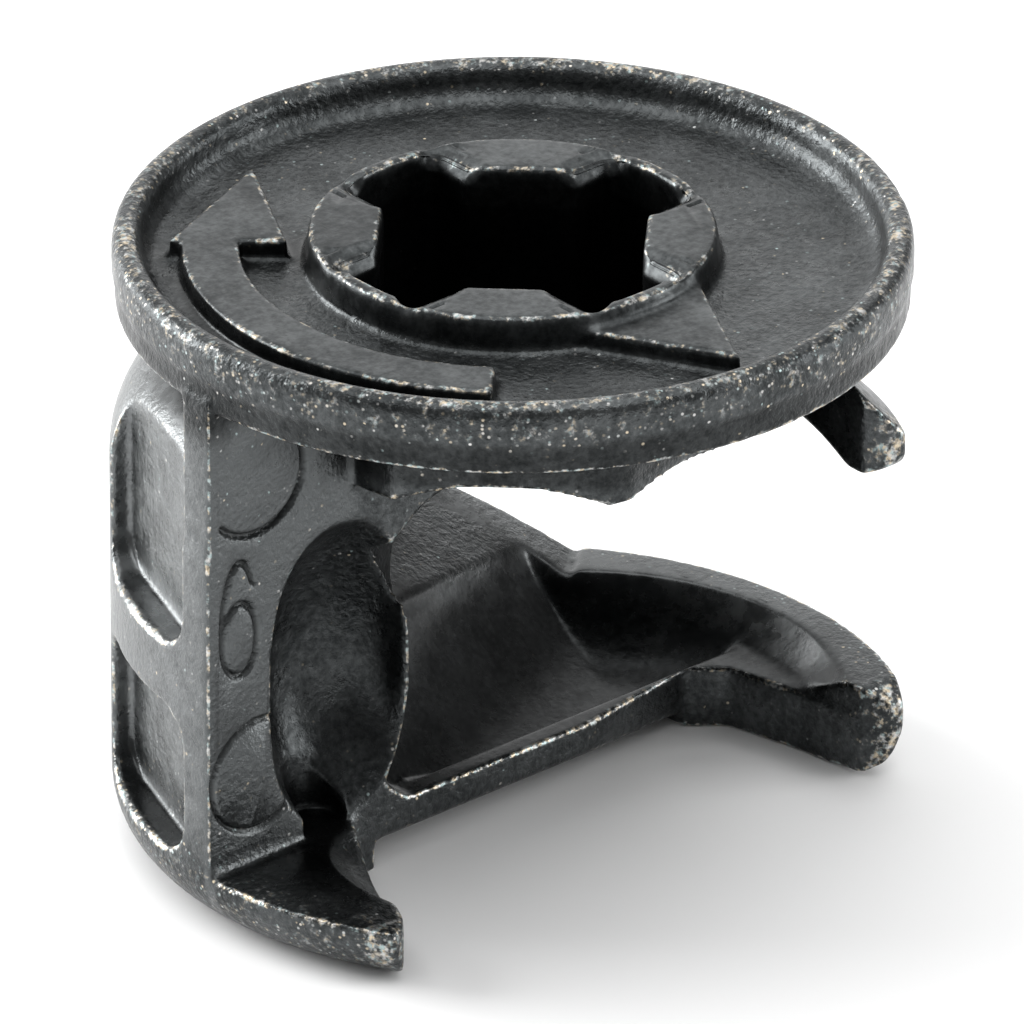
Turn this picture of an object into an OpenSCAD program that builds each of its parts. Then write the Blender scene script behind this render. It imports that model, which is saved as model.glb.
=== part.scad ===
// Cam lock fitting for furniture panels: one zinc die casting.
// The drum turns in a flat-bottomed hole in one panel. The head of a connecting bolt comes in
// through the mouth, along +Y, and a turn of the drum draws it in behind the two hooked claws.
// Frame: Z is the turning axis, Z = 0 the underside, and the mouth faces -Y. Millimetres.
// Angles are turns from the mouth, counter-clockwise seen from above.

/* [Drum] */
// Diameter of the drum, which turns in the panel's hole
drum_d = 15; // [14.6:0.1:16]
// Height over all, from the underside to the top of the rim
height = 12.25; // [12:0.05:13]
// Round along the lower edge of the drum
foot_round = 1.2; // [0.8:0.05:1.4]
// Height of the bolt's axis above the underside
bolt_z = 4.1; // [4:0.05:4.3]

/* [Cover disc] */
// Diameter of the cover disc
disc_d = 14.86; // [14.4:0.02:15]
// Thickness of the cover disc at its edge
disc_t = 1.4; // [1.3:0.05:1.7]
// Width of the round bead along the edge
bead_w = 0.56; // [0.44:0.02:0.7]
// Depth of the sunk face inside the bead
sink = 0.7; // [0.5:0.05:0.8]
// Diameter of the boss round the drive socket
boss_d = 7.56; // [7.4:0.02:8]
// Height of the raised arrow and pointer above the sunk face
mark_h = 0.4; // [0.2:0.01:0.45]

/* [Drive socket] */
// Reach of the four arms from the centre
arm_reach = 3.5; // [3.2:0.05:3.6]
// Width of an arm
arm_w = 2; // [1.7:0.1:2.2]
// Distance between opposite tongues
tongue_gap = 4.9; // [4.5:0.1:5.1]
// Depth of the socket below the rim
socket_depth = 3.3; // [2.8:0.05:3.4]

/* [Bolt passage] */
// Diameter of the passage for the bolt's head
head_d = 7; // [6.6:0.1:7.2]
// Width of the slot for the bolt's neck
neck_w = 4.5; // [4.1:0.1:4.7]
// Turn from the mouth to where the neck slot begins to close
lock_turn = 131; // [122:1:138]
// Distance of the claws' inner faces from the middle of the mouth
mouth_half = 5.85; // [5.6:0.05:6]
// Sideways shift of the passage, which draws the head in
draw = 1.8; // [1.6:0.05:1.9]

/* [Walls] */
// Thickness of the front rib beside the side pockets
rib_t = 0.82; // [0.7:0.02:1]
// Depth of the pockets in the drum's side
pocket_depth = 0.7; // [0.4:0.05:0.9]
// Height of the floor's front lip and of the left claw
lip_h = 1.25; // [1.15:0.05:1.4]

/* [Hidden] */
$fn = 72;

lap = 0.2;
drum_r = drum_d / 2;
disc_r = disc_d / 2;
bead_r = bead_w / 2;
head_r = head_d / 2;
neck_r = neck_w / 2;
boss_r = boss_d / 2;
disc_z = height - disc_t;
face_z = height - sink;
reach = 2 * drum_r;

// The disc's side stands in a little below the parting line, and the boss has draft.
parting_drop = 0.8;
parting_z = height - parting_drop;
skirt_inset = 0.06;
boss_draft = 0.12;

// Arrow on the sunk face: a curved shaft from its tail to its neck, then the head.
arrow_r = 5.6;
arrow_w = 1.1;
arrow_tail = -45;
arrow_neck = -136;
barb_turn = -132;
barb_in = 4.15;
barb_out = 6.4;
arrow_tip_turn = -165;
arrow_tip_r = 5.8;

// Pointer from the boss towards the mouth.
pointer_half = 1.46;
pointer_tip = 6.3;

// Hub under the disc, with two flats and a domed underside that is level in the middle.
hub_r = 3.98;
hub_flat_l = 3.45;
hub_flat_r = 3.76;
hub_turn_l = -45;
hub_turn_r = 11;
hub_web = 0.4;
hub_z = height - socket_depth - hub_web;
dome_r = 6.97;
dome_level_r = 3.44;
dome_z = hub_z - sqrt(dome_r * dome_r - dome_level_r * dome_level_r);

// The passage is a flat-ended round groove swept about an axis beside the drum's own.
// Behind that axis it is a straight bore, turned towards the neck slot.
sweep_r = 2.33;
sweep_y = 0.15;
bore_turn = 25.4;
bore_spare = 0.03;
bore_start = 0.4;
lip_t = 0.5;

// The neck slot closes in a slope over the far wall, which begins in a nick below the slot's floor.
slot_start = 30;
slot_end = 2.9;
slot_end_half = 0.46;
nick_l = 0.25;
nick_h = 0.12;

// The claw's bar above the neck slot, and the taller shoulder behind the front wall.
bar_rise = 4.2;
bar_top = bolt_z + bar_rise;
bar_start = 20;
bar_chamfer = 1.1;
shoulder_gap = 1.15;
shoulder_top = disc_z - shoulder_gap;
shoulder_round = 2;
shoulder_turn = 152;

// Front wall beside the mouth, and the round cheek of metal between it and the passage.
wall_edge = -4.4;
wall_inset = 0.05;
cheek_x = -7.4;
cheek_r = 4.9;

// Ends of the two claws beside the mouth.
claw_y = 3.75;
claw_round = 0.5;
tip_in = 0.3;
tip_out = 0.75;
tip_drop = 0.12;
tip_r = 1;
tip_past_y = 0.15;
tip_past_z = 0.05;
// Foot of the right claw: in from its inner face, and along Y.
foot_root = [0.15, -1.75];
foot_bend = [0.5, -0.1];
foot_floor = [1.15, 0.45];
floor_mid_x = 2;
// Left claw: its root on the wall, its inner corner and its point.
left_root_x = -3.95;
left_inner_x = -5.75;
left_tip_x = -6;
left_point_x = -6.3;

// Slope under the floor's front edge.
slope_x = -3.4;
slope_h = 0.62;
slope_l = 1.1;

// Hollow in the front wall, and the groove below it.
hollow_x = -4.28;
hollow_y = -2.3;
hollow_up = 0.35;
hollow_ring_r = 2.2;
hollow_tube_r = 1.65;
groove_x = -4.62;
groove_y = 0.35;
groove_r = 0.6;
groove_h = 2.6;

// Two pockets, one above the other.
pocket_turn = 248.4;
pocket_w = 3.95;
pocket_round = 0.8;
low_pocket_z = 1.3;
low_pocket_h = 3;
high_pocket_z = 5.6;
pocket_gap = 0.55;
high_pocket_h = disc_z - pocket_gap - high_pocket_z;

function at_turn(r, turn) = [r * sin(turn), -r * cos(turn)];

module turned(turn) {
  rotate([0, 0, turn - 90]) children();
}

// Outline of the drum's side, from the axis outwards, with its lower and upper edges rounded.
module side_outline(top, top_round) {
  difference() {
    square([drum_r, top]);
    difference() {
      translate([drum_r - foot_round, -lap]) square([foot_round + lap, foot_round + lap]);
      translate([drum_r - foot_round, foot_round]) circle(r = foot_round);
    }
    difference() {
      translate([drum_r - top_round, top - top_round]) square([top_round + lap, top_round + lap]);
      translate([drum_r - top_round, top - top_round]) circle(r = top_round);
    }
  }
}

// A flat rectangle with rounded corners, its lower left corner at the origin.
module round_rect(w, h, r) {
  translate([r, 0]) square([w - 2 * r, h]);
  translate([0, r]) square([w, h - 2 * r]);
  for (x = [r, w - r], y = [r, h - r]) {
    translate([x, y]) circle(r = r);
  }
}

// Disc with a bead along its edge, which runs down to the sunk face in a hollow slope.
module disc() {
  bead_in = disc_r - bead_w;
  hollow_r = sink - bead_r;
  rotate_extrude() {
    translate([0, disc_z]) square([bead_in + bead_r, face_z - disc_z]);
    translate([bead_in, disc_z]) square([bead_w - skirt_inset, parting_z - disc_z + lap]);
    translate([bead_in, parting_z]) square([bead_w, height - bead_r - parting_z]);
    translate([disc_r - bead_r, height - bead_r]) circle(r = bead_r);
    difference() {
      translate([bead_in - hollow_r, face_z - lap]) square([hollow_r + bead_r, hollow_r + lap]);
      translate([bead_in - hollow_r, face_z + hollow_r]) circle(r = hollow_r);
    }
    polygon([[0, face_z - lap], [boss_r + boss_draft, face_z - lap], [boss_r, height], [0, height]]);
  }
}

// Arrow along the sunk face, in the direction of locking, and a pointer over the mouth.
module marks() {
  translate([0, 0, face_z - lap]) linear_extrude(height = mark_h + lap) {
    intersection() {
      difference() {
        circle(r = arrow_r + arrow_w / 2);
        circle(r = arrow_r - arrow_w / 2);
      }
      polygon([
        [0, 0], at_turn(reach, arrow_tail), at_turn(reach, (arrow_tail + arrow_neck) / 2),
        at_turn(reach, arrow_neck)
      ]);
    }
    polygon([at_turn(barb_out, barb_turn), at_turn(barb_in, barb_turn), at_turn(arrow_tip_r, arrow_tip_turn)]);
    polygon([[-pointer_half, lap - boss_r], [pointer_half, lap - boss_r], [0, -pointer_tip]]);
  }
}

module drive_socket() {
  translate([0, 0, height - socket_depth]) linear_extrude(height = socket_depth + lap) {
    intersection() {
      union() {
        square([reach, arm_w], center = true);
        square([arm_w, reach], center = true);
      }
      circle(r = arm_reach);
    }
    rotate([0, 0, 45]) square([tongue_gap, tongue_gap], center = true);
  }
}

module hub() {
  low = dome_z + sqrt(dome_r * dome_r - hub_r * hub_r) - lap;
  difference() {
    intersection() {
      translate([0, 0, low]) cylinder(r = hub_r, h = disc_z - low + lap);
      turned(hub_turn_l) translate([-reach, -reach, 0]) cube([reach + hub_flat_l, 2 * reach, height]);
      turned(hub_turn_r) translate([-reach, -reach, 0]) cube([reach + hub_flat_r, 2 * reach, height]);
    }
    intersection() {
      translate([0, 0, dome_z]) sphere(r = dome_r);
      cylinder(r = reach, h = hub_z);
    }
  }
}

// Room for the bolt's head behind the claws.
module head_passage() {
  difference() {
    translate([draw, sweep_y, bolt_z]) intersection() {
      rotate_extrude() {
        intersection() {
          union() {
            translate([0, -head_r]) square([sweep_r, head_d]);
            translate([sweep_r, 0]) circle(r = head_r);
          }
          translate([0, -head_d]) square([reach, 2 * head_d]);
        }
      }
      rotate([0, 0, bore_turn]) union() {
        translate([-reach, -reach, -head_d]) cube([2 * reach, reach + bore_start, 2 * head_d]);
        rotate([0, 90, 0]) cylinder(r = head_r + bore_spare, h = 2 * reach, center = true);
      }
    }
    translate([cheek_x, -lap, bolt_z]) rotate([-90, 0, 0]) cylinder(r = cheek_r, h = reach);
    translate([-reach, -reach, -lap]) cube([2 * reach, reach + lip_t, lip_h + lap]);
  }
}

module neck_slot() {
  translate([0, 0, bolt_z - neck_r]) turned(slot_start)
    rotate_extrude(angle = lock_turn - slot_start)
      translate([draw, 0]) square([reach, neck_w]);
  turned(lock_turn) translate([draw, 0, bolt_z]) rotate([90, 0, 90]) linear_extrude(height = reach)
    polygon([
      [-2 * nick_l, lap - neck_r], [-nick_l, -neck_r - nick_h], [slot_end, -slot_end_half],
      [slot_end, slot_end_half], [-lap, neck_r - lap]
    ]);
}

// Hollow in the front wall where the end of the bolt's head swings by, with a groove below it.
module swing_hollow() {
  translate([hollow_x, hollow_y, bolt_z + hollow_up]) rotate([0, 90, 0])
    rotate_extrude() translate([hollow_ring_r, 0]) circle(r = hollow_tube_r);
  translate([groove_x, groove_y, lip_h]) cylinder(r = groove_r, h = groove_h);
}

module side_pocket(z, h) {
  turned(pocket_turn) translate([drum_r - pocket_depth, -pocket_w / 2, z]) rotate([90, 0, 90])
    linear_extrude(height = reach)
      round_rect(pocket_w, h, pocket_round);
}

// Front wall, up to the disc, before the mouth is cut.
module front_wall() {
  intersection() {
    cylinder(r = drum_r - wall_inset, h = disc_z + lap);
    translate([-reach, -rib_t, foot_round]) cube([reach + wall_edge, 2 * rib_t, height]);
  }
}

// Everything that is open in front of the wall: the claws stay on either side.
module mouth() {
  right_claw_edge = [
    [reach, -reach], [reach, claw_round - claw_y], [drum_r, claw_round / 2 - claw_y],
    [mouth_half + tip_out, -claw_y], [mouth_half + tip_in, tip_drop - claw_y],
    [mouth_half, claw_round - claw_y]
  ];
  right_foot_edge = [
    [mouth_half - foot_root.x, foot_root.y], [mouth_half - foot_bend.x, foot_bend.y],
    [mouth_half - foot_floor.x, foot_floor.y], [floor_mid_x, 0]
  ];
  left_claw_edge = [
    [left_root_x, 0], [left_inner_x, tip_in - claw_y], [left_tip_x, -claw_y],
    [left_point_x, -claw_y - tip_drop], [-reach, -claw_y]
  ];
  translate([0, 0, -lap]) linear_extrude(height = lip_h + lap)
    polygon(concat([[-reach, -reach]], right_claw_edge, right_foot_edge, left_claw_edge));
  translate([0, 0, lip_h]) linear_extrude(height = disc_z - lip_h + 2 * lap)
    polygon(concat([[-reach, -reach]], right_claw_edge, [[mouth_half, 0], [-reach, 0]]));
  foot_slope();
}

// Round on a right claw's point, beside the neck slot: the lower one, about the bolt's axis.
module claw_tip() {
  round_y = tip_r - tip_past_y - claw_y;
  round_z = tip_past_z - tip_r - neck_r;
  translate([mouth_half - lap, 0, 0]) rotate([90, 0, 90]) linear_extrude(height = reach)
    difference() {
      translate([round_y - 2 * tip_r, round_z]) square([2 * tip_r, tip_r + lap]);
      translate([round_y, round_z]) circle(r = tip_r);
    }
}

module foot_slope() {
  translate([slope_x, 0, 0]) rotate([90, 0, 90])
    linear_extrude(height = mouth_half - foot_floor.x - slope_x)
      polygon([[-slope_l, -lap], [slope_l * (1 + lap / slope_h), -lap], [0, slope_h], [-slope_l, slope_h]]);
}

// Room over the claw's bar, on the side where the neck slot runs.
module over_bar() {
  turned(bar_start) rotate_extrude(angle = shoulder_turn - bar_start)
    polygon([
      [0, bar_top], [drum_r - bar_chamfer, bar_top], [drum_r + bar_chamfer, bar_top - 2 * bar_chamfer],
      [reach, bar_top - 2 * bar_chamfer], [reach, height], [0, height]
    ]);
}

module drum() {
  difference() {
    union() {
      difference() {
        rotate_extrude() side_outline(shoulder_top, shoulder_round);
        over_bar();
      }
      front_wall();
    }
    mouth();
    head_passage();
    neck_slot();
    translate([0, 0, bolt_z]) claw_tip();
    translate([0, 0, bolt_z]) mirror([0, 0, 1]) claw_tip();
    swing_hollow();
    side_pocket(low_pocket_z, low_pocket_h);
    side_pocket(high_pocket_z, high_pocket_h);
  }
}

module cam() {
  color("dimgray") difference() {
    union() {
      disc();
      marks();
      hub();
      drum();
    }
    drive_socket();
  }
}

cam();
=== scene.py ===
"""Looks of the cam lock fitting: a dark die casting with softened, worn edges, on a pale floor.

The casting's shape comes from the CAD node. A copy of it is rebuilt as one even skin, its edges are
rounded as a die leaves them, and the marks of the die are pressed into it.
"""

import logging
import math
from dataclasses import dataclass
from enum import Enum
from functools import reduce
from typing import Any, Sequence

import bmesh
import bpy
from mathutils import Matrix, Vector


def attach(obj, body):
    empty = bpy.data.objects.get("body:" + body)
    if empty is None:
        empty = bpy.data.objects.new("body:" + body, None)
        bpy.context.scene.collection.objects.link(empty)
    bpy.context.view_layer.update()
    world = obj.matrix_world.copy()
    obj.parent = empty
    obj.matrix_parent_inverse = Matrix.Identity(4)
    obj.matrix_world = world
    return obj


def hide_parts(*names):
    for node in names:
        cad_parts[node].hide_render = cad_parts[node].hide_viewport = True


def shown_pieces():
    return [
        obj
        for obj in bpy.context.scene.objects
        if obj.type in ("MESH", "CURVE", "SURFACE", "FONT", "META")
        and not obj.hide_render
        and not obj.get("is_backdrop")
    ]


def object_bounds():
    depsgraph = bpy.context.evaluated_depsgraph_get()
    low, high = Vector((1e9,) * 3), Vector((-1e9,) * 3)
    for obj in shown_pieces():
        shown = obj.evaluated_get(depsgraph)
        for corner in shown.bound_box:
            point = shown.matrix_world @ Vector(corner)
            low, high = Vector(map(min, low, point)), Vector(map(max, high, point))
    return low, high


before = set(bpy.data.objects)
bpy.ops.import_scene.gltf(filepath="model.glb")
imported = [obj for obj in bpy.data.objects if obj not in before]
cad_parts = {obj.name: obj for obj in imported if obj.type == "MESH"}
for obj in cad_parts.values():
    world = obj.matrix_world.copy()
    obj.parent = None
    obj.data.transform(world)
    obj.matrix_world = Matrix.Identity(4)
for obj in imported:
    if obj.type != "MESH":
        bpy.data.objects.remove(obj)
cad_bounds = [list(corner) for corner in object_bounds()]

LOG = logging.getLogger("cam_lock")
MM = 0.001

Colour = tuple[float, float, float, float]
Point = tuple[float, float, float]
Span = tuple[float, float]
Socket = bpy.types.NodeSocket


class Mark(Enum):
    """Kinds of mark on the casting; the value starts the names of its inputs."""

    BEVEL = "bevel"
    RIB = "rib"
    WALL = "wall"

    @property
    def press(self) -> str:
        """Name of the point value that says how deep the mark is."""
        return f"{self.value}_press"


class Graph:
    """Short way to add and join the nodes of one node tree."""

    def __init__(self, tree: bpy.types.NodeTree) -> None:
        """Starts from an empty tree.

        Args:
            tree: The node tree to fill.
        """
        self.tree = tree
        tree.nodes.clear()

    def add(self, kind: str, settings: dict[str, Any] | None = None, **inputs: Any) -> bpy.types.Node:
        """Adds a node, sets its properties and fills its inputs.

        Args:
            kind: Blender's name of the node type.
            settings: Properties of the node itself.
            **inputs: Values or output sockets, by input name, or by number as _0, _1 and so on.

        Returns:
            The new node.
        """
        node = self.tree.nodes.new(kind)
        for name, value in (settings or {}).items():
            setattr(node, name, value)
        for name, value in inputs.items():
            key = int(name[1:]) if name.startswith("_") else name.replace("_", " ")
            self.fill(node.inputs[key], value)
        return node

    def fill(self, socket: Socket, value: Any) -> None:
        """Links an output socket to an input, or sets the input's own value.

        Args:
            socket: The input to fill.
            value: An output socket or a plain value.
        """
        if isinstance(value, Socket):
            self.tree.links.new(value, socket)
        else:
            socket.default_value = value

    def math(self, operation: str, a: Any, b: Any = 0.0) -> Socket:
        """Adds a math node and returns its result."""
        return self.add("ShaderNodeMath", {"operation": operation}, _0=a, _1=b).outputs[0]

    def vector(self, operation: str, a: Any, b: Any) -> bpy.types.Node:
        """Adds a vector math node with two vector inputs."""
        return self.add("ShaderNodeVectorMath", {"operation": operation}, _0=a, _1=b)

    def scaled(self, vector: Socket, by: Any) -> Socket:
        """Multiplies a vector or colour by a number."""
        return self.add("ShaderNodeVectorMath", {"operation": "SCALE"}, _0=vector, Scale=by).outputs[0]

    def total(self, *terms: Any) -> Socket:
        """Adds up two or more values."""
        return reduce(lambda a, b: self.math("ADD", a, b), terms)

    def product(self, *factors: Any) -> Socket:
        """Multiplies two or more values."""
        return reduce(lambda a, b: self.math("MULTIPLY", a, b), factors)

    def most(self, *values: Any) -> Socket:
        """Takes the largest of two or more values."""
        return reduce(lambda a, b: self.math("MAXIMUM", a, b), values)

    def without(self, mask: Socket) -> Socket:
        """Turns a mask round."""
        return self.math("SUBTRACT", 1.0, mask)

    def ramp(self, value: Any, low: float, high: Any, to: Span = (0.0, 1.0)) -> Socket:
        """Adds a smooth step from low to high and returns its result.

        Args:
            value: What to measure.
            low: Where the step begins.
            high: Where it ends, as a number or a socket.
            to: Results before and after the step.

        Returns:
            The result.
        """
        node = self.add(
            "ShaderNodeMapRange",
            {"interpolation_type": "SMOOTHSTEP"},
            Value=value, From_Min=low, From_Max=high, To_Min=to[0], To_Max=to[1],
        )
        return node.outputs[0]

    def rise(self, value: Any, span: Span) -> Socket:
        """Adds a smooth step up over a span."""
        return self.ramp(value, *span)

    def fall(self, value: Any, span: Span) -> Socket:
        """Adds a smooth step down over a span."""
        return self.ramp(value, *span, (1.0, 0.0))

    def dim(self, mask: Socket, share: float) -> Socket:
        """Gives 1 outside a mask and the share inside it."""
        return self.ramp(mask, 0.0, 1.0, (1.0, share))

    def blend(self, factor: Any, a: Any, b: Any) -> Socket:
        """Adds a colour mix and returns its result."""
        return self.add("ShaderNodeMix", {"data_type": "RGBA"}, _0=factor, _6=a, _7=b).outputs[2]


@dataclass(frozen=True)
class Zones:
    """Masks of the casting's parts, from 0 to 1.

    They are the rim and foot, the claws' tips, the skirt under the rim with the hub, the end of the neck slot,
    the drum's side, the front wall, and the tops of the raised marks.
    """

    rim: Socket
    tip: Socket
    skirt: Socket
    slot: Socket
    side: Socket
    wall: Socket
    marks: Socket


@dataclass(frozen=True)
class ZoneSpans:
    """Where the casting's parts begin and end, in millimetres: radius r, place x, y and height z."""

    rim_r: Span = (6.7, 7.1)
    rim_z: Span = (11.2, 11.75)
    skirt_top: Span = (11.3, 11.6)
    drum_top: Span = (9.8, 10.6)
    foot_r: Span = (6.2, 7.2)
    foot_z: Span = (1.0, 2.6)
    tip_y: Span = (-3.6, -2.4)
    hub_r: Span = (4.1, 4.6)
    hub_foot: Span = (8.4, 8.8)
    side_r: Span = (6.1, 6.7)
    side_y: Span = (-3.0, 1.5)
    wall_x: Span = (-4.2, -3.6)
    wall_y: Span = (0.08, 0.2)
    slot_r: Span = (6.3, 6.8)
    slot_y: Span = (3.2, 3.9)
    slot_z: Span = (2.0, 2.8)
    marks_r: Span = (6.2, 6.5)
    marks_z: Span = (11.80, 11.90)

    def masks(self, g: Graph, mm: Socket) -> Zones:
        """Finds the parts of the casting that are worn, or that take painted light or shade, in their own way.

        Args:
            g: The material's graph.
            mm: Object coordinates in millimetres.

        Returns:
            A mask for each part.
        """
        x, y, z = g.add("ShaderNodeSeparateXYZ", None, _0=mm).outputs
        flat = g.add("ShaderNodeCombineXYZ", None, _0=x, _1=y).outputs[0]
        radius = g.add("ShaderNodeVectorMath", {"operation": "LENGTH"}, _0=flat).outputs["Value"]
        under_disc = g.fall(z, self.drum_top)
        rim = g.product(g.rise(radius, self.rim_r), g.rise(z, self.rim_z))
        foot = g.product(g.rise(radius, self.foot_r), g.fall(z, self.foot_z))
        tip = g.product(g.rise(radius, self.foot_r), g.fall(y, self.tip_y), g.fall(z, self.hub_foot))
        hub = g.product(g.fall(radius, self.hub_r), g.rise(z, self.hub_foot))
        disc_side = g.product(g.rise(radius, self.rim_r), g.rise(z, self.drum_top))
        wall = g.product(under_disc, g.fall(g.math("ABSOLUTE", y), self.wall_y), g.fall(x, self.wall_x))
        side = g.product(g.rise(radius, self.side_r), g.rise(y, self.side_y), under_disc, g.rise(z, self.foot_z))
        return Zones(
            rim=g.most(rim, foot),
            tip=tip,
            skirt=g.product(g.most(disc_side, hub), g.fall(z, self.skirt_top)),
            slot=g.product(g.fall(radius, self.slot_r), g.rise(y, self.slot_y), g.rise(z, self.slot_z)),
            side=g.product(side, g.without(wall)),
            wall=wall,
            marks=g.product(g.rise(z, self.marks_z), g.fall(radius, self.marks_r)),
        )


@dataclass(frozen=True)
class Specks:
    """Bright grains of bare metal in the cast skin."""

    per_mm: float = 13.0
    scarce: float = 0.985
    thickest: float = 0.30
    soft_limit: float = 0.12
    body: Span = (0.2, 0.55)
    shine: Span = (0.25, 0.95)

    def mask(self, g: Graph, mm: Socket, gather: Socket) -> tuple[Socket, Socket]:
        """Scatters the grains, thicker where the mask is stronger.

        Args:
            g: The material's graph.
            mm: Object coordinates in millimetres.
            gather: How thickly the grains lie, from 0 to 1.

        Returns:
            Mask of the grains and a random value for the tint of each.
        """
        cells = g.add("ShaderNodeTexVoronoi", None, Vector=mm, Scale=self.per_mm, Randomness=1.0)
        pick, luck, tint = list(g.add("ShaderNodeSeparateColor", None, Color=cells.outputs["Color"]).outputs)[:3]
        limit = g.math("SUBTRACT", self.scarce, g.product(gather, self.thickest))
        chosen = g.ramp(g.math("SUBTRACT", pick, limit), 0.0, self.soft_limit)
        body = g.fall(cells.outputs["Distance"], self.body)
        return g.product(body, chosen, g.ramp(luck, 0.0, 1.0, self.shine)), tint


@dataclass(frozen=True)
class Waves:
    """Fractal noise, as waves to the millimetre and finer layers on top."""

    per_mm: float
    layers: float
    falloff: float = 0.62

    def value(self, g: Graph, mm: Socket) -> Socket:
        """Adds the noise and returns its value."""
        sizes = {"Scale": self.per_mm, "Detail": self.layers, "Roughness": self.falloff}
        return g.add("ShaderNodeTexNoise", None, Vector=mm, **sizes).outputs[0]


@dataclass(frozen=True)
class Skin:
    """What the finish reads at a point: noise, masks and the casting's own values."""

    broad: Socket
    patch: Socket
    fine: Socket
    zones: Zones
    edge: Socket
    flank: Socket
    pressed: Socket
    open_air: Socket


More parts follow.
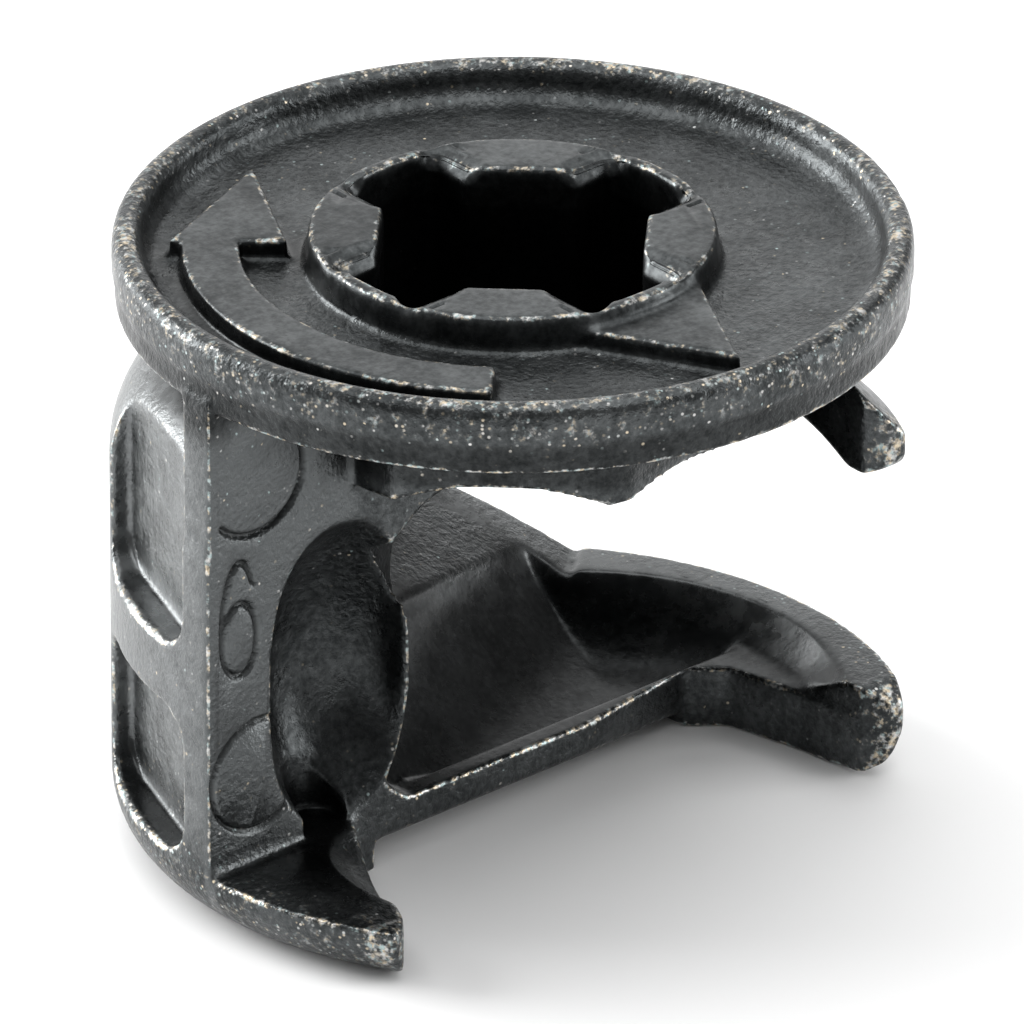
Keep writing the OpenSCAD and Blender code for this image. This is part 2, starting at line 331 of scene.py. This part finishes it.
@dataclass(frozen=True)
class CastFinish:
    """Dark passivated zinc: a grainy cast skin with bright specks, edges worn to bare metal, and painted light
    and shade.
    """

    dark: Colour = (0.028, 0.031, 0.032, 1.0)
    pale: Colour = (0.105, 0.112, 0.114, 1.0)
    # Tone of the pale patches on the drum's side, partly worn film and partly painted sheen for a bright
    # reflection there.
    rub_and_sheen: Colour = (0.175, 0.183, 0.185, 1.0)
    bare: Colour = (0.66, 0.655, 0.64, 1.0)
    warm: Colour = (0.68, 0.58, 0.43, 1.0)
    cool: Colour = (0.42, 0.52, 0.52, 1.0)
    cool_tints: Span = (0.1, 0.4)
    warm_tints: Span = (0.5, 0.8)

    broad: Waves = Waves(0.6, 2.0)
    patch: Waves = Waves(2.2, 3.0)
    fine: Waves = Waves(7.0, 3.0)
    specks: Specks = Specks()
    spans: ZoneSpans = ZoneSpans()

    edge_height_mm: Span = (0.008, 0.028)
    flank_press: Span = (0.1, 0.6)
    flank_wear: float = 0.8
    rim_wear: float = 0.55
    marks_wear: float = 0.85
    edge_weight: float = 0.75
    fine_weight: float = 2.2
    fine_middle: float = 0.5
    patch_weight: float = 1.6
    patch_middle: float = 0.55
    worn: Span = (0.45, 1.1)

    rim_specks: float = 0.45
    edge_specks: float = 0.35
    patch_specks: Span = (0.02, 0.5)
    patch_specks_at: Span = (0.42, 0.72)

    broad_mottle: float = 0.6
    fine_mottle: float = 0.7
    # Painted light: the front wall is mottled paler, as if it were better lit.
    wall_painted_light: float = 0.35
    mottle: Span = (0.42, 0.95)
    # Pale patches on the drum's side, partly a film worn thin and partly a painted sheen for a bright reflection
    # there.
    side_rub_and_sheen: Span = (0.5, 0.95)
    side_rub_and_sheen_at: Span = (0.35, 0.65)

    # Painted shade in sheltered recesses: how sheltered a point must be, and the share of the tone left there.
    recess_shelter: Span = (0.32, 0.72)
    recess_shade_share: float = 0.3
    # The neck slot's end is kept lighter than its shelter says, as painted light for light that comes in through
    # the slot.
    slot_lit_share: float = 0.8
    # Painted shade in the pressed marks on the wall.
    press_shade_share: float = 0.25
    # Painted shade under the rim bead and in the hub.
    skirt_shade_share: float = 0.5

    metallic: float = 0.9
    roughness: Span = (0.26, 0.42)
    roughness_at: Span = (0.3, 0.7)
    marks_roughness: float = 0.04
    recess_gloss: float = 0.75
    grain_depth_mm: float = 0.06
    grain_bump: float = 0.6
    marks_smooth: float = 0.8
    recess_grain: Span = (0.12, 1.0)
    recess_grain_at: Span = (0.2, 1.0)

    def build(self) -> bpy.types.Material:
        """Makes the material.

        Returns:
            A material that reads Object coordinates and the casting's own attributes.
        """
        material = bpy.data.materials.new("cast_metal")
        material.use_nodes = True
        g = Graph(material.node_tree)
        mm = g.scaled(g.add("ShaderNodeTexCoord").outputs["Object"], 1.0 / MM)
        skin = self.read(g, mm)
        bump = g.add(
            "ShaderNodeBump", None,
            Distance=self.grain_depth_mm * MM, Height=skin.fine, Strength=self.grain(g, skin),
        )
        shader = g.add(
            "ShaderNodeBsdfPrincipled", None,
            Base_Color=self.colour(g, mm, skin), Roughness=self.gloss(g, skin), Normal=bump.outputs[0],
        )
        shader.inputs["Metallic"].default_value = self.metallic
        g.add("ShaderNodeOutputMaterial", None, Surface=shader.outputs[0])
        return material

    def read(self, g: Graph, mm: Socket) -> Skin:
        """Gathers the noise, the masks and the casting's own values.

        Args:
            g: The material's graph.
            mm: Object coordinates in millimetres.

        Returns:
            All of them, for the other methods.
        """
        zones = self.spans.masks(g, mm)
        # Sheltered points get painted shade, a glossier and smoother skin, less wear and fewer specks.
        open_air = g.fall(self.attribute(g, "shelter"), self.recess_shelter)
        return Skin(
            broad=self.broad.value(g, mm),
            patch=self.patch.value(g, mm),
            fine=self.fine.value(g, mm),
            zones=zones,
            edge=g.rise(self.attribute(g, "edge_wear"), self.edge_height_mm),
            flank=self.attribute(g, Mark.BEVEL.press),
            pressed=self.attribute(g, Mark.WALL.press),
            # The neck slot's end counts as open, so it gets less painted shade, as light comes in through the
            # slot.
            open_air=g.most(open_air, g.product(zones.slot, self.slot_lit_share)),
        )

    def colour(self, g: Graph, mm: Socket, skin: Skin) -> Socket:
        """Lays bare metal over the dark skin.

        Args:
            g: The material's graph.
            mm: Object coordinates in millimetres.
            skin: What the finish reads.

        Returns:
            The base colour.
        """
        gather = g.total(
            g.product(skin.zones.rim, self.rim_specks),
            g.product(skin.edge, self.edge_specks),
            g.ramp(skin.patch, *self.patch_specks_at, self.patch_specks),
        )
        rough_skin = g.product(g.without(skin.zones.marks), skin.open_air)
        speck, tint = self.specks.mask(g, mm, g.product(gather, rough_skin))
        grey = g.blend(g.rise(tint, self.cool_tints), self.cool, self.bare)
        metal = g.blend(g.rise(tint, self.warm_tints), grey, self.warm)
        return g.blend(g.most(self.wear(g, skin), speck), self.tone(g, skin), metal)

    def wear(self, g: Graph, skin: Skin) -> Socket:
        """Rubs the film off the edges, the rim, the foot and the claws' tips, in patches.

        Args:
            g: The material's graph.
            skin: What the finish reads.

        Returns:
            Mask of the bare metal.
        """
        edge = g.most(
            skin.edge,
            g.ramp(skin.flank, *self.flank_press, (0.0, self.flank_wear)),
            g.product(skin.zones.rim, self.rim_wear),
            skin.zones.tip,
        )
        edge = g.product(edge, g.dim(skin.zones.marks, self.marks_wear))
        rub = g.total(
            g.product(edge, self.edge_weight),
            g.product(g.math("SUBTRACT", skin.fine, self.fine_middle), self.fine_weight),
            g.product(g.math("SUBTRACT", skin.patch, self.patch_middle), self.patch_weight),
        )
        return g.product(g.rise(rub, self.worn), edge, skin.open_air)

    def tone(self, g: Graph, skin: Skin) -> Socket:
        """Mottles the dark film, paints shade into recesses, under the rim bead, in the hub and in the pressed
        marks, paints light on the front wall, and pales the drum's side with patches that are partly worn film
        and partly painted sheen.

        Args:
            g: The material's graph.
            skin: What the finish reads.

        Returns:
            Colour of the film, with painted light and shade.
        """
        # Random mottle of the film, with painted light added on the front wall.
        mottle = g.total(
            g.product(skin.broad, self.broad_mottle),
            g.product(skin.fine, self.fine_mottle),
            g.product(skin.zones.wall, self.wall_painted_light),
        )
        film = g.blend(g.rise(mottle, self.mottle), self.dark, self.pale)
        # Painted shade: darker in sheltered recesses, in the pressed marks on the wall, and under the rim bead
        # and in the hub.
        depth = g.product(
            g.total(g.product(skin.open_air, 1.0 - self.recess_shade_share), self.recess_shade_share),
            g.dim(skin.pressed, self.press_shade_share),
            g.dim(skin.zones.skirt, self.skirt_shade_share),
        )
        # Pale patches on the drum's side, partly worn film and partly painted sheen.
        rub = g.product(skin.zones.side, g.ramp(skin.patch, *self.side_rub_and_sheen_at, self.side_rub_and_sheen))
        return g.blend(rub, g.scaled(film, depth), self.rub_and_sheen)

    def gloss(self, g: Graph, skin: Skin) -> Socket:
        """Varies the roughness in patches, and makes recesses glossier.

        Args:
            g: The material's graph.
            skin: What the finish reads.

        Returns:
            The roughness.
        """
        rough = g.ramp(skin.patch, *self.roughness_at, self.roughness)
        rough = g.total(rough, g.product(skin.zones.marks, self.marks_roughness))
        return g.product(rough, g.ramp(skin.open_air, 0.0, 1.0, (self.recess_gloss, 1.0)))

    def grain(self, g: Graph, skin: Skin) -> Socket:
        """Weakens the grain on the raised marks and in recesses.

        Args:
            g: The material's graph.
            skin: What the finish reads.

        Returns:
            Strength of the grain's bump.
        """
        plain = g.without(g.product(skin.zones.marks, self.marks_smooth))
        return g.product(plain, g.ramp(skin.open_air, *self.recess_grain_at, self.recess_grain), self.grain_bump)

    @staticmethod
    def attribute(g: Graph, name: str) -> Socket:
        """Reads one of the casting's own point values."""
        return g.add("ShaderNodeAttribute", {"attribute_name": name}).outputs["Fac"]


@dataclass(frozen=True)
class Stroke:
    """One line on the casting, in millimetres."""

    points: tuple[Point, ...]

    @staticmethod
    def round(centre: Span, radii: Span, turn: Span = (0.0, 360.0), steps: int = 48) -> "Stroke":
        """Draws a round line on the front wall.

        Args:
            centre: Its middle, as X and Z.
            radii: Its half width and half height.
            turn: Angles of its first and last point, in degrees from +X towards +Z.
            steps: How many lengths it is drawn in.

        Returns:
            The stroke.
        """
        start, end = turn
        angles = [math.radians(start + (end - start) * i / steps) for i in range(steps + 1)]
        x, z = centre
        half_width, half_height = radii
        return Stroke(tuple((x + half_width * math.cos(t), 0.0, z + half_height * math.sin(t)) for t in angles))


@dataclass(frozen=True)
class Pressing:
    """Strokes that are pressed into the casting alike."""

    mark: Mark
    strokes: tuple[Stroke, ...]
    width_mm: float
    depth_mm: float

    @property
    def name(self) -> str:
        """Start of the names of the mark's inputs."""
        return self.mark.value

    def lines(self) -> bpy.types.Object:
        """Draws the strokes as loose edges, for the skin's tree to measure from.

        Returns:
            A helper object, which goes once the skin is made.
        """
        mesh = bpy.data.meshes.new(self.name)
        points: list[Point] = []
        edges: list[tuple[int, int]] = []
        for stroke in self.strokes:
            first = len(points)
            points.extend(stroke.points)
            edges.extend((i, i + 1) for i in range(first, len(points) - 1))
        mesh.from_pydata(points, edges, [])
        lines = bpy.data.objects.new(self.name, mesh)
        bpy.context.scene.collection.objects.link(lines)
        return lines


@dataclass(frozen=True)
class DieMarks:
    """Sizes of the marks that the die and the socket's punch leave, in millimetres.

    Places on the front wall are X and Z.
    """

    upper_ring: Span = (-6.30, 9.20)
    upper_ring_r: float = 1.17
    upper_ring_turn: Span = (225.0, 400.0)
    lower_ring: Span = (-6.28, 3.02)
    lower_ring_r: float = 1.12
    digit_bowl: Span = (-6.71, 5.95)
    digit_bowl_r: Span = (0.42, 0.74)
    digit_back: Span = (-6.71, 6.15)
    digit_back_r: Span = (0.42, 1.39)
    digit_back_turn: Span = (40.0, 180.0)
    dot: Span = (-5.87, 5.36)
    dot_r: Span = (0.03, 0.08)
    wall_width: float = 0.10
    wall_depth: float = 0.12

    socket_top: float = cad_bounds[1][2] / MM
    arms: int = 4
    arm_half: float = 1.0
    flank: Span = (2.55, 3.3)
    bevel_width: float = 0.45
    bevel_depth: float = 0.20
    rib_offsets: tuple[float, ...] = (0.16, 0.32, 0.48)
    rib_width: float = 0.07
    rib_depth: float = 0.07

    def flanks(self, offset: float) -> tuple[Stroke, ...]:
        """Draws lines along both sides of the socket's arms.

        Args:
            offset: Distance of the lines from the arms' sides.

        Returns:
            Two strokes on the boss for each arm.
        """
        across = self.arm_half + offset
        inner, outer = self.flank
        strokes: list[Stroke] = []
        for arm in range(self.arms):
            turn = Matrix.Rotation(math.tau * arm / self.arms, 3, "Z")
            for side in (-across, across):
                ends = (Vector((along, side, self.socket_top)) for along in (inner + offset, outer))
                strokes.append(Stroke(tuple(tuple(turn @ end) for end in ends)))
        return tuple(strokes)

    def wall(self) -> tuple[Stroke, ...]:
        """Draws the ejector rings and the cavity number on the front wall.

        Returns:
            Their strokes.
        """
        return (
            Stroke.round(self.upper_ring, (self.upper_ring_r, self.upper_ring_r), self.upper_ring_turn),
            Stroke.round(self.lower_ring, (self.lower_ring_r, self.lower_ring_r)),
            Stroke.round(self.digit_bowl, self.digit_bowl_r),
            Stroke.round(self.digit_back, self.digit_back_r, self.digit_back_turn),
            Stroke.round(self.dot, self.dot_r),
        )

    def pressings(self) -> tuple[Pressing, ...]:
        """Gathers the bevels and ribs beside the socket's arms and the marks on the wall.

        Returns:
            One pressing for each kind of mark, in the order in which they are made.
        """
        ribs = tuple(stroke for offset in self.rib_offsets for stroke in self.flanks(offset))
        return (
            Pressing(Mark.BEVEL, self.flanks(0.0), self.bevel_width, self.bevel_depth),
            Pressing(Mark.RIB, ribs, self.rib_width, self.rib_depth),
            Pressing(Mark.WALL, self.wall(), self.wall_width, self.wall_depth),
        )


@dataclass
class Casting:
    """The cam itself: the CAD node's shape as a softened die casting."""

    node: str = "cam"
    slot: str = "cast_metal"
    skin_mm: float = 0.05
    soften_steps: int = 9
    wear_steps: int = 16
    shelter_rays: int = 16
    shelter_reach_mm: float = 10.0
    ray_lift_mm: float = 0.03
    # Faces that look up count as more sheltered, so the painted shade is darker on them under the disc.
    upward: Span = (-0.2, 0.9)
    upward_share: Span = (1.1, 1.4)
    merge_mm: float = 1e-4
    triangles: int = 190_000
    marks: DieMarks = DieMarks()

    def skin_tree(self, pressings: Sequence[Pressing]) -> bpy.types.GeometryNodeTree:
        """Geometry Nodes that round the edges, press in the marks and measure how exposed each point is.

        Args:
            pressings: The marks; each gets inputs of its own.

        Returns:
            The node tree, with named inputs.
        """
        tree = bpy.data.node_groups.new("cast_skin", "GeometryNodeTree")
        inputs = {
            "Geometry": "NodeSocketGeometry",
            "Soften Steps": "NodeSocketInt",
            "Wear Steps": "NodeSocketInt",
            "Shelter Reach": "NodeSocketFloat",
            "Material": "NodeSocketMaterial",
        }
        for pressing in pressings:
            inputs[f"{pressing.name} lines"] = "NodeSocketObject"
            inputs[f"{pressing.name} width"] = "NodeSocketFloat"
            inputs[f"{pressing.name} depth"] = "NodeSocketFloat"
        for name, kind in inputs.items():
            tree.interface.new_socket(name, in_out="INPUT", socket_type=kind)
        tree.interface.new_socket("Geometry", in_out="OUTPUT", socket_type="NodeSocketGeometry")
        g = Graph(tree)
        given = g.add("NodeGroupInput").outputs
        place = g.add("GeometryNodeInputPosition").outputs[0]
        normal = g.add("GeometryNodeInputNormal").outputs[0]

        soft = self.blurred(g, place, given["Soften Steps"], "FLOAT_VECTOR")
        shape = g.add("GeometryNodeSetPosition", None, Geometry=given["Geometry"], Position=soft).outputs[0]
        level = self.blurred(g, place, given["Wear Steps"], "FLOAT_VECTOR")
        stand = g.vector("SUBTRACT", place, level).outputs[0]
        proud = g.vector("DOT_PRODUCT", stand, normal).outputs["Value"]
        shape = self.stored(g, shape, "edge_wear", proud)
        for pressing in pressings:
            lines = g.add("GeometryNodeObjectInfo", None, Object=given[f"{pressing.name} lines"])
            edges = lines.outputs["Geometry"]
            near = g.add("GeometryNodeProximity", {"target_element": "EDGES"}, _0=edges).outputs["Distance"]
            press = g.ramp(near, 0.0, given[f"{pressing.name} width"], (1.0, 0.0))
            shape = self.stored(g, shape, pressing.mark.press, press)
            sunk = g.scaled(normal, g.product(press, given[f"{pressing.name} depth"], -1.0))
            shape = g.add("GeometryNodeSetPosition", None, Geometry=shape, Offset=sunk).outputs[0]
        # How sheltered each point is; the finish paints shade from it.
        covered = self.shelter(g, shape, place, normal, given["Shelter Reach"])
        shape = self.stored(g, shape, "shelter", covered)
        smooth = g.add("GeometryNodeSetShadeSmooth", None, _0=shape).outputs[0]
        real = g.add("GeometryNodeRealizeInstances", None, _0=smooth).outputs[0]
        done = g.add("GeometryNodeSetMaterial", None, Geometry=real, Material=given["Material"]).outputs[0]
        g.add("NodeGroupOutput", None, Geometry=done)
        return tree

    @staticmethod
    def stored(g: Graph, shape: Socket, name: str, value: Socket) -> Socket:
        """Keeps a value on the points under a name and returns the geometry."""
        return g.add(
            "GeometryNodeStoreNamedAttribute", {"data_type": "FLOAT", "domain": "POINT"},
            Geometry=shape, Name=name, Value=value,
        ).outputs[0]

    def shelter(self, g: Graph, shape: Socket, place: Socket, normal: Socket, reach: Socket) -> Socket:
        """Sends rays out of each point and counts those that meet the casting again.

        Args:
            g: The skin's graph.
            shape: The casting.
            place: Position of a point.
            normal: Its normal.
            reach: Length of a ray.

        Returns:
            Share of the rays that met something, more for faces that look up, evened out over neighbours.
        """
        start = g.vector("ADD", place, g.scaled(normal, self.ray_lift_mm)).outputs[0]
        hits: Any = 0.0
        for seed in range(self.shelter_rays):
            random = g.add("FunctionNodeRandomValue", {"data_type": "FLOAT_VECTOR"}, Seed=seed)
            random.inputs[0].default_value = (-1.0, -1.0, -1.0)
            any_way = g.add("ShaderNodeVectorMath", {"operation": "NORMALIZE"}, _0=random.outputs[0]).outputs[0]
            way = g.vector("ADD", normal, any_way).outputs[0]
            ray = g.add("GeometryNodeRaycast", None, Target_Geometry=shape, Source_Position=start)
            g.fill(ray.inputs["Ray Direction"], way)
            g.fill(ray.inputs["Ray Length"], reach)
            hits = g.math("ADD", hits, ray.outputs["Is Hit"])
        look_up = g.add("ShaderNodeSeparateXYZ", None, _0=normal).outputs[2]
        share = g.math("DIVIDE", hits, float(self.shelter_rays))
        share = g.product(share, g.ramp(look_up, *self.upward, self.upward_share))
        return self.blurred(g, share, self.wear_steps, "FLOAT")

    @staticmethod
    def blurred(g: Graph, value: Socket, steps: Any, kind: str) -> Socket:
        """Evens out a point value over its neighbours.

        Args:
            g: The skin's graph.
            value: The value.
            steps: How often it is evened out.
            kind: Blender's name of the value's type.

        Returns:
            The evened value.
        """
        node = g.add("GeometryNodeBlurAttribute", {"data_type": kind})
        shown = "VECTOR" if kind == "FLOAT_VECTOR" else "VALUE"
        g.fill(next(s for s in node.inputs if s.name == "Value" and s.type == shown), value)
        g.fill(node.inputs["Iterations"], steps)
        return next(s for s in node.outputs if s.type == shown)

    def build(self) -> bpy.types.Object:
        """Copies the CAD node and merges the copy's doubled points.

        Returns:
            The rough casting, in millimetres.
        """
        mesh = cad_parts[self.node].data.copy()
        mesh.transform(Matrix.Scale(1.0 / MM, 4))
        work = bmesh.new()
        work.from_mesh(mesh)
        bmesh.ops.remove_doubles(work, verts=work.verts, dist=self.merge_mm)
        work.to_mesh(mesh)
        work.free()
        mesh.materials.clear()
        rough = bpy.data.objects.new("rough_casting", mesh)
        bpy.context.scene.collection.objects.link(rough)
        return rough

    def dress(self, rough: bpy.types.Object, finish: CastFinish) -> bpy.types.Object:
        """Softens the rough casting, gives it its finish and puts it in the CAD node's place.

        Args:
            rough: The merged copy of the CAD node, in millimetres.
            finish: Its finish.

        Returns:
            The finished piece.
        """
        pressings = self.marks.pressings()
        helpers = {pressing.name: pressing.lines() for pressing in pressings}
        voxels = rough.modifiers.new("even_skin", "REMESH")
        voxels.mode = "VOXEL"
        voxels.voxel_size = self.skin_mm
        skin = rough.modifiers.new("cast_skin", "NODES")
        tree = self.skin_tree(pressings)
        values: dict[str, Any] = {
            "Soften Steps": self.soften_steps,
            "Wear Steps": self.wear_steps,
            "Shelter Reach": self.shelter_reach_mm,
            "Material": finish.build(),
        }
        for pressing in pressings:
            values[f"{pressing.name} lines"] = helpers[pressing.name]
            values[f"{pressing.name} width"] = pressing.width_mm
            values[f"{pressing.name} depth"] = pressing.depth_mm
        skin.node_group = tree
        for item in tree.interface.items_tree:
            if item.item_type == "SOCKET" and item.in_out == "INPUT" and item.name in values:
                skin[item.identifier] = values[item.name]
        dense = rough.evaluated_get(bpy.context.evaluated_depsgraph_get())
        count = sum(len(p.vertices) - 2 for p in dense.data.polygons)
        thin = rough.modifiers.new("fewer_faces", "DECIMATE")
        thin.ratio = min(1.0, self.triangles / count)
        evaluated = rough.evaluated_get(bpy.context.evaluated_depsgraph_get())
        mesh = bpy.data.meshes.new_from_object(evaluated)
        mesh.transform(Matrix.Scale(MM, 4))
        piece = bpy.data.objects.new("cam_casting", mesh)
        bpy.context.scene.collection.objects.link(piece)
        for helper in (rough, *helpers.values()):
            bpy.data.objects.remove(helper)
        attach(piece, "root")
        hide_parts(self.node)
        LOG.info("%s: %d triangles from %d", piece.name, len(mesh.polygons), count)
        return piece


@dataclass(frozen=True)
class Lamp:
    """One soft area light, in millimetres."""

    name: str
    place: Point
    size: Span
    watts: float

    def build(self, target: Vector) -> None:
        """Adds the light.

        Args:
            target: Where it shines, in metres.
        """
        data = bpy.data.lights.new(self.name, "AREA")
        data.shape = "RECTANGLE"
        data.size, data.size_y = (side * MM for side in self.size)
        data.energy = self.watts
        lamp = bpy.data.objects.new(self.name, data)
        lamp.location = Vector(self.place) * MM
        lamp.rotation_euler = (target - lamp.location).to_track_quat("-Z", "Y").to_euler()
        bpy.context.scene.collection.objects.link(lamp)


@dataclass
class Studio:
    """Pale floor, soft light and the photograph's viewpoint, in millimetres."""

    eye: Point = (-265.43, -299.99, 211.41)
    target: Point = (-0.012, 0.011, 6.336)
    lens: float = 851.1
    floor_half: float = 2000.0
    floor_colour: Colour = (0.96, 0.96, 0.96, 1.0)
    floor_roughness: float = 0.7
    clip: Span = (50.0, 10000.0)
    room: float = 0.25
    lamps: Sequence[Lamp] = (
        Lamp("backdrop", (85.0, 198.0, 95.0), (420.0, 180.0), 0.29),
        Lamp("overhead", (10.0, -5.0, 190.0), (260.0, 260.0), 0.40),
        Lamp("left", (-75.0, 135.0, 60.0), (120.0, 110.0), 0.40),
        Lamp("right", (110.0, -90.0, 45.0), (80.0, 90.0), 0.11),
    )

    def floor(self) -> None:
        """Lays the floor."""
        half = self.floor_half * MM
        mesh = bpy.data.meshes.new("floor")
        corners = [(-half, -half, 0.0), (half, -half, 0.0), (half, half, 0.0), (-half, half, 0.0)]
        mesh.from_pydata(corners, [], [(0, 1, 2, 3)])
        material = bpy.data.materials.new("pale_floor")
        material.use_nodes = True
        shader = material.node_tree.nodes["Principled BSDF"]
        shader.inputs["Base Color"].default_value = self.floor_colour
        shader.inputs["Roughness"].default_value = self.floor_roughness
        mesh.materials.append(material)
        floor = bpy.data.objects.new("floor", mesh)
        bpy.context.scene.collection.objects.link(floor)
        floor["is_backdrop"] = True

    def light(self) -> None:
        """Hangs the lights and sets the even light of the room."""
        for lamp in self.lamps:
            lamp.build(Vector(self.target) * MM)
        world = bpy.data.worlds.new("room")
        world.use_nodes = True
        background = world.node_tree.nodes["Background"]
        background.inputs["Color"].default_value = (1.0, 1.0, 1.0, 1.0)
        background.inputs["Strength"].default_value = self.room
        bpy.context.scene.world = world
        bpy.context.scene.view_settings.view_transform = "Standard"

    def camera(self) -> None:
        """Sets the camera at the photograph's viewpoint."""
        data = bpy.data.cameras.new("camera")
        data.lens = self.lens
        data.clip_start, data.clip_end = (distance * MM for distance in self.clip)
        camera = bpy.data.objects.new("camera", data)
        camera.location = Vector(self.eye) * MM
        gaze = Vector(self.target) - Vector(self.eye)
        camera.rotation_euler = gaze.to_track_quat("-Z", "Y").to_euler()
        bpy.context.scene.collection.objects.link(camera)
        bpy.context.scene.camera = camera

    def build(self) -> None:
        """Sets the whole stage."""
        self.floor()
        self.light()
        self.camera()


def main() -> None:
    """Builds the casting and its stage, and reports each piece."""
    logging.basicConfig(level=logging.INFO, format="%(name)s: %(message)s")
    casting = Casting()
    casting.dress(casting.build(), CastFinish())
    Studio().build()
    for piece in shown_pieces():
        LOG.info("piece %s: %s mm", piece.name, [round(side / MM, 2) for side in piece.dimensions])


if __name__ == "__main__":
    main()
